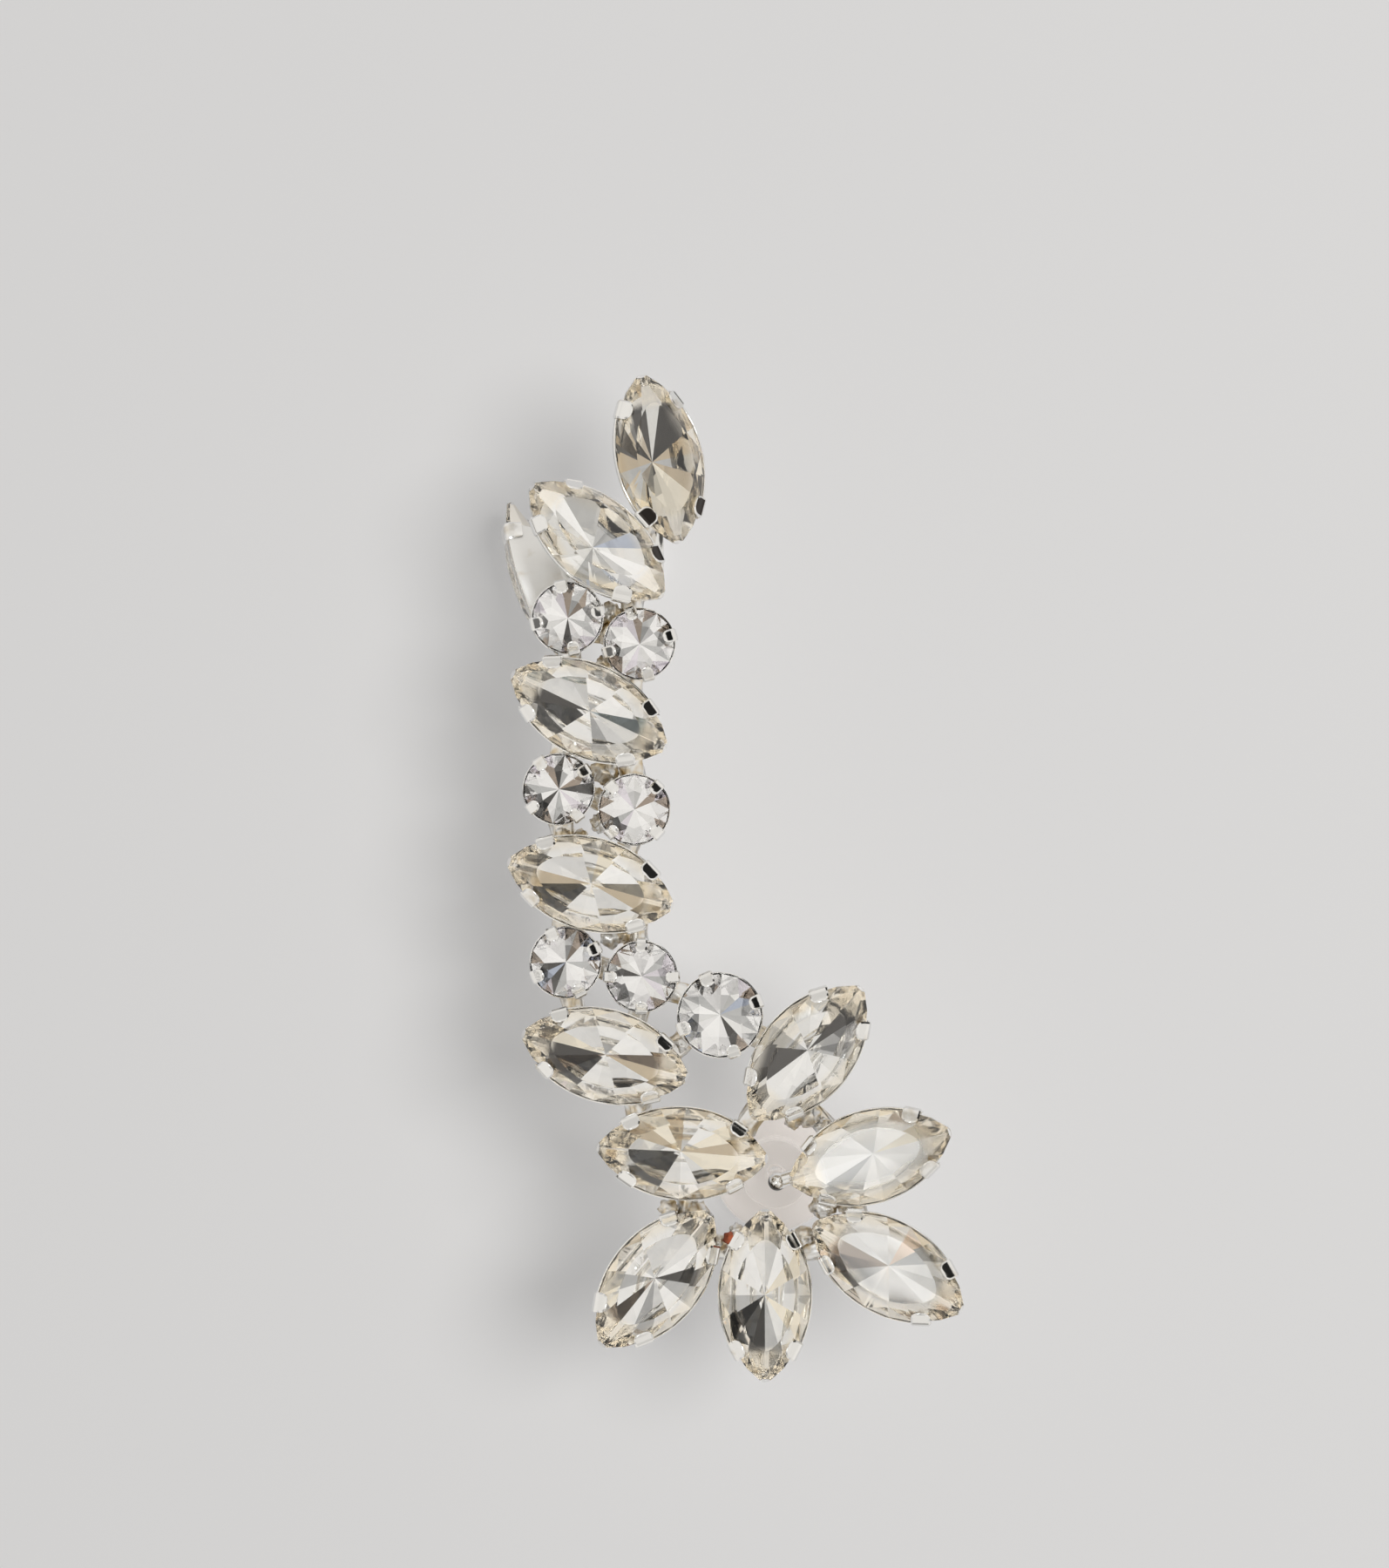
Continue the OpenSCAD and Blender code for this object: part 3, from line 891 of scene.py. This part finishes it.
# %% [markdown]
# Geometry Nodes sets the straps. A small mesh holds one point for each claw, with its turn and size as
# named numbers, and one tree puts a copy of the shape on every point. A loop that copies objects would
# give the same claws, but the tree takes any shape and any points, and the solder uses it again later.

# %% Tree that sets a shape on points
def setting_tree():
    """Geometry Nodes: one copy of a shape on every point, turned and sized by the point's own numbers."""
    tree = bpy.data.node_groups.new("set_on_points", "GeometryNodeTree")
    for name, way, kind in (("Seats", "INPUT", "Geometry"), ("Shape", "INPUT", "Object"),
                            ("Finish", "INPUT", "Material"), ("Piece", "OUTPUT", "Geometry")):
        tree.interface.new_socket(name, in_out=way, socket_type="NodeSocket" + kind)
    start = node(tree, "NodeGroupInput").outputs
    turn, size = [node(tree, "GeometryNodeInputNamedAttribute", {"Name": name}, data_type="FLOAT_VECTOR")
                  for name in ("turn", "size")]
    shape = node(tree, "GeometryNodeObjectInfo", {"Object": start["Shape"]})
    rotate = node(tree, "FunctionNodeEulerToRotation", {0: turn.outputs[0]})
    place = node(tree, "GeometryNodeInstanceOnPoints", {
        "Points": start["Seats"], "Instance": shape.outputs["Geometry"],
        "Rotation": rotate.outputs[0], "Scale": size.outputs[0]})
    real = node(tree, "GeometryNodeRealizeInstances", {0: place.outputs[0]})
    finish = node(tree, "GeometryNodeSetMaterial", {"Geometry": real.outputs[0], "Material": start["Finish"]})
    node(tree, "NodeGroupOutput", {"Piece": finish.outputs[0]})
    return tree


def set_on_points(name, shape, matrices, sizes, finish):
    mesh = new_mesh(name + "_seats", [m.translation for m in matrices])
    write(mesh, "turn", [c for m in matrices for c in m.to_euler("XYZ")], "FLOAT_VECTOR")
    write(mesh, "size", [c for s in sizes for c in s], "FLOAT_VECTOR")
    seats = add_object(name + "_seats", mesh)
    modifier = seats.modifiers.new("setting", "NODES")
    modifier.node_group = tree_of_settings
    sockets = {s.name: s.identifier for s in tree_of_settings.interface.items_tree if s.in_out == "INPUT"}
    modifier[sockets["Shape"]] = shape
    modifier[sockets["Finish"]] = finish
    ready = seats.evaluated_get(bpy.context.evaluated_depsgraph_get())
    result = bpy.data.meshes.new_from_object(ready)
    result.name = name
    seats.modifiers.remove(modifier)
    made = add_object(name, result)
    bpy.data.objects.remove(seats)
    bpy.data.objects.remove(shape)
    return made


tree_of_settings = setting_tree()
print("tree:", tree_of_settings.name)

# %% [markdown]
# A marquise has two claws on each side, near its tips, and a round stone has four round about. A little
# chance in their turn and width keeps them from looking stamped.

# %% Claws on every cup
CLAW_ALONG = 3.1
CLAW_SEED = 5
CLAW_SWING = 3.0
CLAW_WIDER = (0.92, 1.06)
# Where a claw's flat face is painted near-black as a painted reflection: places in mm from above, and how far
# round there it may reach.
PAINTED_DARK_CLAWS = ((-4.5, 20.4), (-1.75, 20.9), (-4.1, 18.5))
PAINTED_DARK_REACH = 1.0


def claw_seats(name):
    """A matrix for each claw of one stone, with the girdle's edge at its origin and +Y outwards."""
    kind = PLAN[name][0]
    place = seat(name)
    found = []
    if kind == "marquise":
        turn = asin(CLAW_ALONG / STONE_ARC)
        middle = Matrix.Translation((0, -ARC_OFFSET, 0))
        for side in (0, pi):
            for lean in (-turn, turn):
                arc = Matrix.Rotation(side, 4, "Z") @ middle @ Matrix.Rotation(lean, 4, "Z")
                found.append(place @ arc @ Matrix.Translation((0, STONE_ARC, 0)))
    else:
        for k in range(4):
            turned = Matrix.Rotation(radians(90 * k - 90), 4, "Z")
            found.append(place @ turned @ Matrix.Translation((0, ROUND_RADIUS[kind], 0)))
    return found


def build_claws(kind):
    chance = random.Random(CLAW_SEED)
    slope = MARQUISE_SLOPE if kind == "marquise" else ROUND_SLOPE
    strap = claw_strap("strap", CLAW_WIDTH[kind], slope)
    matrices, sizes = [], []
    for name in PLAN:
        if PLAN[name][0] == kind:
            for m in claw_seats(name):
                swing = Matrix.Rotation(radians(chance.uniform(-CLAW_SWING, CLAW_SWING)), 4, "Z")
                matrices.append((m @ swing).normalized())
                wide = chance.uniform(*CLAW_WIDER)
                sizes.append((wide, 1, 1))
    return set_on_points("claws_" + kind.replace(" ", "_"), strap, matrices, sizes, silver)


def paint_dark_claw_faces(claws):
    """Three claws near the top get a flat face painted near-black, a painted reflection, in a bright rim."""
    mesh = claws.data
    values = []
    for polygon, flat in zip(mesh.polygons, mesh.attributes["claw_face"].data):
        place = polygon.center.to_2d() / MM
        near = any((place - Vector(claw)).length < PAINTED_DARK_REACH for claw in PAINTED_DARK_CLAWS)
        values.append(flat.value * near)
    write(mesh, "painted_dark", values, domain="FACE")
    # The count of claw faces painted dark as a painted reflection.
    print("faces gone black:", int(sum(values)))


claws = join("claws", [build_claws(kind) for kind in CLAW_WIDTH])
paint_dark_claw_faces(claws)
finish_metal(claws)

# %% [markdown]
# Solder joins the feet of neighbouring cups. Molten solder pulls itself into a neck with a wide foot at
# both ends, so one neck of unit length is made, and the same tree stretches it between each two cups.

# %% Solder necks
SOLDER_HEIGHT = -2.3
SOLDER_WIDTH = 1.25
SOLDER_LUMPS = 0.45
SOLDER_FLAT = 0.72
SOLDER_SEED = 8
SOLDER_COLOUR = (0.66, 0.53, 0.33, 1)
SOLDER_WIDER = (0.9, 1.15)
SOLDER_GRAIN = 1.3
SOLDER_FADE = (0.35, 0.7)
SOLDER_BUMP = (0.35, 0.1)
SOLDER_HEAT = 0.55
NECK_SEED = 3
NECK_STEPS = 24
# Each neck: two stones, and how far along their long axes it begins and ends.
SOLDERED = (
    ("top_stone", -2.4, "curl_stone_front", 1.9), ("curl_stone_front", 0.6, "round_stone_1", 0),
    ("curl_stone_front", 3, "round_stone_2", 0), ("round_stone_1", 0, "round_stone_2", 0),
    ("round_stone_1", 0, "row_stone_1", -1), ("round_stone_2", 0, "row_stone_1", 2),
    ("row_stone_1", -1.5, "round_stone_3", 0), ("row_stone_1", 2.4, "round_stone_4", 0),
    ("round_stone_3", 0, "round_stone_4", 0), ("round_stone_3", 0, "row_stone_2", -1.5),
    ("round_stone_4", 0, "row_stone_2", 1.6), ("row_stone_2", -1.6, "round_stone_5", 0),
    ("row_stone_2", 2.2, "round_stone_6", 0), ("round_stone_5", 0, "round_stone_6", 0),
    ("round_stone_5", 0, "row_stone_3", -1.6), ("round_stone_6", 0, "row_stone_3", 1.6),
    ("round_stone_6", 0, "large_round_stone", 0), ("row_stone_3", 2.6, "large_round_stone", 0),
    ("large_round_stone", 0, "petal_stone_1", -1), ("row_stone_3", 1.2, "petal_stone_6", 2),
    ("petal_stone_6", -2.6, "petal_stone_1", -3.1), ("petal_stone_1", -2.2, "petal_stone_2", -1.5),
    ("petal_stone_2", -2, "petal_stone_3", -1.6), ("petal_stone_3", -3, "petal_stone_4", -1.7),
    ("petal_stone_4", -2.8, "petal_stone_5", -2), ("petal_stone_5", -3, "petal_stone_6", -0.6),
)


def make_solder():
    material, tree, shader = new_material("solder", {"Metallic": 1.0, "Roughness": 0.3})
    lumps = grain(tree, SOLDER_GRAIN, 2)
    colour = mix_colour(tree, fade(tree, lumps, *SOLDER_FADE), SILVER, SOLDER_COLOUR)
    fill(shader, {"Base Color": mix_colour(tree, attribute(tree, "heat"), colour, HEATED),
                  "Normal": bumped(tree, lumps, *SOLDER_BUMP)})
    return material


def lumpy(point, seed):
    """A point pushed out or in by smooth noise, so that no two sides of a solder lump are alike."""
    return 1 + SOLDER_LUMPS * noise.noise(point * 2.2 + Vector((seed, 0, 0)))


def swollen(point):
    swell = lumpy(point * 2, NECK_SEED)
    return Vector((point.x * swell, point.y * swell, point.z))


def solder_neck():
    profile = [(0.0, 0.3), (0.02, 0.55), (0.1, 0.64), (0.2, 0.6), (0.3, 0.52), (0.4, 0.47), (0.5, 0.46),
               (0.6, 0.47), (0.7, 0.52), (0.8, 0.6), (0.9, 0.64), (0.98, 0.55), (1.0, 0.3)]
    rings = [[swollen(p) for p in circle(r, z, NECK_STEPS)] for z, r in profile]
    return shape_object("neck", rings, sharp=70)


def build_solder():
    chance = random.Random(SOLDER_SEED)
    matrices, sizes = [], []
    for first, a, second, b in SOLDERED:
        start = seat(first) @ Vector((a, 0, SOLDER_HEIGHT))
        end = seat(second) @ Vector((b, 0, SOLDER_HEIGHT))
        way = end - start
        roll = Matrix.Rotation(chance.choice((0, pi)), 4, "Z")
        matrices.append(Matrix.Translation(start) @ way.to_track_quat("Z", "Y").to_matrix().to_4x4() @ roll)
        wide = SOLDER_WIDTH * MM * chance.uniform(*SOLDER_WIDER)
        sizes.append((wide, wide * SOLDER_FLAT, way.length))
    return set_on_points("solder", solder_neck(), matrices, sizes, solder_finish)


solder_finish = make_solder()
solder = build_solder()
finish_metal(solder, SOLDER_HEAT)

# %% [markdown]
# Where two cups nearly touch, drops of solder have set between them, and some stand up beside the claws.
# Each drop is a ball squeezed and dented by noise. Metaballs would run together more softly, but a ball
# keeps the place and size that the photograph shows. One drop in the flower has rusted red.

# %% Drops of solder
# Each drop: place in mm, width in mm, and how high it is for its width.
DROPS = (
    (-6.9, 14.95, 8.6, 1.3, 1.2), (-7.05, 13.9, 8.4, 1.2, 1.1), (-7.2, 12.1, 8.5, 1.1, 1.0),
    (-7.25, 6.1, 8.6, 1.5, 1.1), (-7.5, 4.6, 8.4, 1.1, 1.2), (-7.5, 3.2, 8.5, 1.1, 1.1),
    (-9.6, 2.5, 8.5, 0.9, 1.2), (-8.6, 2.35, 8.5, 0.9, 1.2), (-6.9, -3.3, 8.6, 1.2, 1.0),
    (-6.1, -3.1, 8.6, 0.9, 1.2), (-7.2, -5.2, 8.5, 1.0, 1.2), (-5.2, -12.9, 8.5, 1.2, 1.0),
    (-2.9, -9.3, 8.5, 0.9, 1.0), (4.3, -13.3, 8.8, 1.3, 1.2), (3.4, -13.6, 8.6, 1.0, 1.1),
    (5.2, -14.0, 8.7, 1.1, 1.1), (5.1, -18.4, 8.8, 1.4, 1.2), (6.3, -18.3, 8.6, 1.0, 1.1),
    (4.0, -20.1, 8.7, 1.1, 1.2), (3.4, -21.3, 8.6, 0.9, 1.2), (-2.0, -18.8, 8.6, 1.2, 1.1),
    (-3.6, -18.6, 8.6, 1.1, 1.1), (0.2, -19.9, 8.7, 0.9, 1.1), (0.1, -21.2, 8.7, 0.9, 1.1),
    (-0.8, -20.3, 9.7, 0.55, 1.4), (0.2, -20.1, 9.8, 0.5, 1.4), (-0.3, -20.95, 9.8, 0.5, 1.3),
)
RUST_DROP = (-0.22, -20.1, 10.2, 0.7, 1.1)
RUST = {"Base Color": (0.42, 0.1, 0.04, 1), "Roughness": 0.55}
DROP_HEAT = 0.5


def drop(finish, *place_and_size):
    *place_mm, width, tall = place_and_size
    work = bmesh.new()
    bmesh.ops.create_icosphere(work, subdivisions=3, radius=1)
    for v in work.verts:
        r = width / 2 * lumpy(v.co, place_mm[0] + place_mm[1])
        v.co = (Vector(place_mm) + SHIFT_MM + Vector((v.co.x * r, v.co.y * r, v.co.z * r * tall))) * MM
    mesh = bpy.data.meshes.new("drop")
    work.to_mesh(mesh)
    work.free()
    mesh.shade_smooth()
    mesh.materials.append(finish)
    return add_object("drop", mesh)


drops = [drop(solder_finish, *one) for one in DROPS]
drops.append(drop(new_material("rust", RUST)[0], *RUST_DROP))
drops = join("solder_drops", drops)
finish_metal(drops, DROP_HEAT)

# %% [markdown]
# Behind the top of the row, a band is curled into an open C that grips the rim of the ear. It is a
# rounded strap swept round most of a circle. A bevelled curve would do, but here each end can thin out to
# a soft edge. Two short studs join it to the cups of the curl's stones.

# %% Curl behind the ear's rim
CURL_RADIUS = 4.3
CURL_THICK = 0.8
CURL_WIDTH = 2.8
CURL_MIDDLE = Vector((-5.1, 18.6, 4.3))
CURL_MOUTH = 1.1
CURL_STEPS = 56
STUD_WIDTH = 1.2
CURL_END_SIZES = (0.45, 0.8, 0.95, 1.0)
SECTION_STEPS = 12


def strap_section(centre, across, up, width, thick):
    """A flat strap's section with well rounded edges."""
    ring = []
    for i in range(SECTION_STEPS):
        a = tau * i / SECTION_STEPS
        c, s = cos(a), sin(a)
        wide = copysign(abs(c) ** 0.3, c) * width / 2
        high = copysign(abs(s) ** 0.5, s) * thick / 2
        ring.append(centre + across * wide + up * high)
    return ring


def tube(name, a, b, width):
    way = (b - a).normalized()
    turned = way.to_track_quat("Z", "Y").to_matrix()
    length = (b - a).length
    profile = [(0, 0.42), (0.03, 0.5), (length / 2, 0.47), (length - 0.03, 0.5), (length, 0.42)]
    rings = [[a + turned @ p for p in circle(r * width, z, 20)] for z, r in profile]
    return shape_object(name, in_place(rings))


def build_curl():
    middle_radius = CURL_RADIUS - CURL_THICK / 2
    opening = acos(CURL_MOUTH / middle_radius)
    rings = []
    for i in range(CURL_STEPS + 1):
        a = opening + (tau - 2 * opening) * i / CURL_STEPS
        out = Vector((cos(a), 0, sin(a)))
        centre = CURL_MIDDLE + out * middle_radius
        small = CURL_END_SIZES[min(i, CURL_STEPS - i, 3)]
        width = CURL_WIDTH * (0.88 + 0.12 * small)
        rings.append(strap_section(centre, Vector((0, 1, 0)), out, width, CURL_THICK * small))
    return shape_object("curl", in_place(rings))


def placed(name, along):
    return (seat(name) @ Vector((along, 0, SOLDER_HEIGHT))) / MM - SHIFT_MM


curl = build_curl()
studs = [
    tube("stud", placed("curl_stone_back", 0), Vector((-9.1, 17.9, 3.6)), STUD_WIDTH),
    tube("stud", placed("curl_stone_front", 0.4), Vector((-5.1, 18.6, 8.2)), STUD_WIDTH),
]
curl = join("curl_band", [curl] + studs)
finish_metal(curl)

# %% [markdown]
# The ear post stands in the open middle of the flower, soldered to one petal's cup by a short arm. It has
# a small ball where it was melted on, and a groove near its far end that the clutch snaps into. The
# photograph shows a dark crescent on the ball's lower left, and it is painted onto the ball as painted
# shade.

# %% Ear post
POST_PLACE = Vector((2.51, -17.15, 0))
POST_WIDTH = 0.84
POST_END = 0.15
BALL = 0.52
BALL_STEPS = 16
# The crescent of painted shade: which way it faces in degrees, its widest part as a share of the ball, and
# how dark it is.
PAINTED_SHADE_WAY = 235
PAINTED_SHADE_WIDTH = 0.5
PAINTED_SHADE_TONE = 0.95
# Faces lower than this, in mm, belong to the stem and get no painted shade.
PAINTED_SHADE_LOWEST = 5


def build_post():
    head = placed("petal_stone_2", -3.4).z
    r = POST_WIDTH / 2
    profile = [(0.02, POST_END), (r * 0.6, POST_END + 0.04), (r * 0.92, POST_END + 0.2), (r, POST_END + 0.4),
               (r, 1.9), (r * 0.8, 2.0), (r * 0.8, 2.2), (r, 2.3), (r, head - 0.45)]
    for i in range(1, BALL_STEPS + 1):
        a = pi * (i / BALL_STEPS) * 0.78 - pi * 0.28
        profile.append((BALL * cos(a), head + BALL * sin(a)))
    profile.append((0.02, head + BALL))
    rings = [[p + POST_PLACE for p in circle(radius, z, 32)] for radius, z in profile]
    return shape_object("post", in_place(rings))


# Paints the crescent of shade onto the ball's top faces, with the same near-black as the claws.
def paint_shade_on_ball(post):
    values = []
    for polygon in post.data.polygons:
        place = polygon.center / MM - POST_PLACE - SHIFT_MM
        out = place.to_2d().length / BALL
        turn = cos(atan2(place.y, place.x) - radians(PAINTED_SHADE_WAY))
        on_top = polygon.normal.z > 0.05 and place.z > PAINTED_SHADE_LOWEST
        values.append(PAINTED_SHADE_TONE * float(on_top and 1 - PAINTED_SHADE_WIDTH * turn < out < 1))
    write(post.data, "painted_dark", values, domain="FACE")
    print("dark faces on the post's head:", sum(v > 0 for v in values))


arm_end = Vector((POST_PLACE.x, POST_PLACE.y, placed("petal_stone_2", -3.4).z))
post = join("ear_post", [build_post(), tube("arm", placed("petal_stone_2", -3), arm_end, POST_WIDTH)])
paint_shade_on_ball(post)
finish_metal(post)

# %% [markdown]
# The clutch is the clear plastic stopper that slides onto the post from behind: a flat pad with a hub. It
# could be two discs stuck together, but it is moulded in one, so it is turned from one closed profile,
# with every edge rounded, round the hole that the post goes through. It is given a very faint glow: painted
# light that lifts it out of the flower's shade, so that it looks milky and pale.

# %% Plastic clutch
PAD_WIDTH = 7.0
PAD_THICK = 1.0
HUB_WIDTH = 4.1
CLUTCH_HEIGHT = 3.0
BORE = 0.94
CLUTCH_STEPS = 64
# The emission is painted light: a faint glow that brightens the clutch in the flower's shade.
PLASTIC_WITH_PAINTED_GLOW = {
    "Base Color": (0.96, 0.90, 0.86, 1), "Roughness": 0.16, "IOR": 1.45, "Alpha": 0.36,
    "Emission Color": (1, 0.93, 0.86, 1), "Emission Strength": 0.23,
}


def build_clutch():
    pad, hub, bore, soft = PAD_WIDTH / 2, HUB_WIDTH / 2, BORE / 2, 0.18
    profile = [
        (bore + 0.08, 0), (pad - soft, 0), (pad - 0.05, 0.06), (pad, soft), (pad, PAD_THICK - soft),
        (pad - 0.05, PAD_THICK - 0.06), (pad - soft, PAD_THICK), (hub + soft, PAD_THICK + 0.02),
        (hub + 0.04, PAD_THICK + 0.1), (hub, PAD_THICK + 0.3), (hub - 0.06, CLUTCH_HEIGHT - soft),
        (hub - 0.12, CLUTCH_HEIGHT - 0.05), (hub - 0.3, CLUTCH_HEIGHT), (bore + 0.15, CLUTCH_HEIGHT),
        (bore + 0.02, CLUTCH_HEIGHT - 0.12), (bore, CLUTCH_HEIGHT - 0.4), (bore, 0.3), (bore + 0.02, 0.1),
    ]
    rings = [[p + POST_PLACE for p in circle(r, z, CLUTCH_STEPS)] for r, z in profile]
    made = shape_object("plastic_clutch", in_place(rings), closed=True)
    made.data.materials.append(new_material("clear_plastic", PLASTIC_WITH_PAINTED_GLOW)[0])
    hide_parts("clutch")
    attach(made, "root")
    return made


clutch = build_clutch()
print("clutch faces:", len(clutch.data.polygons))
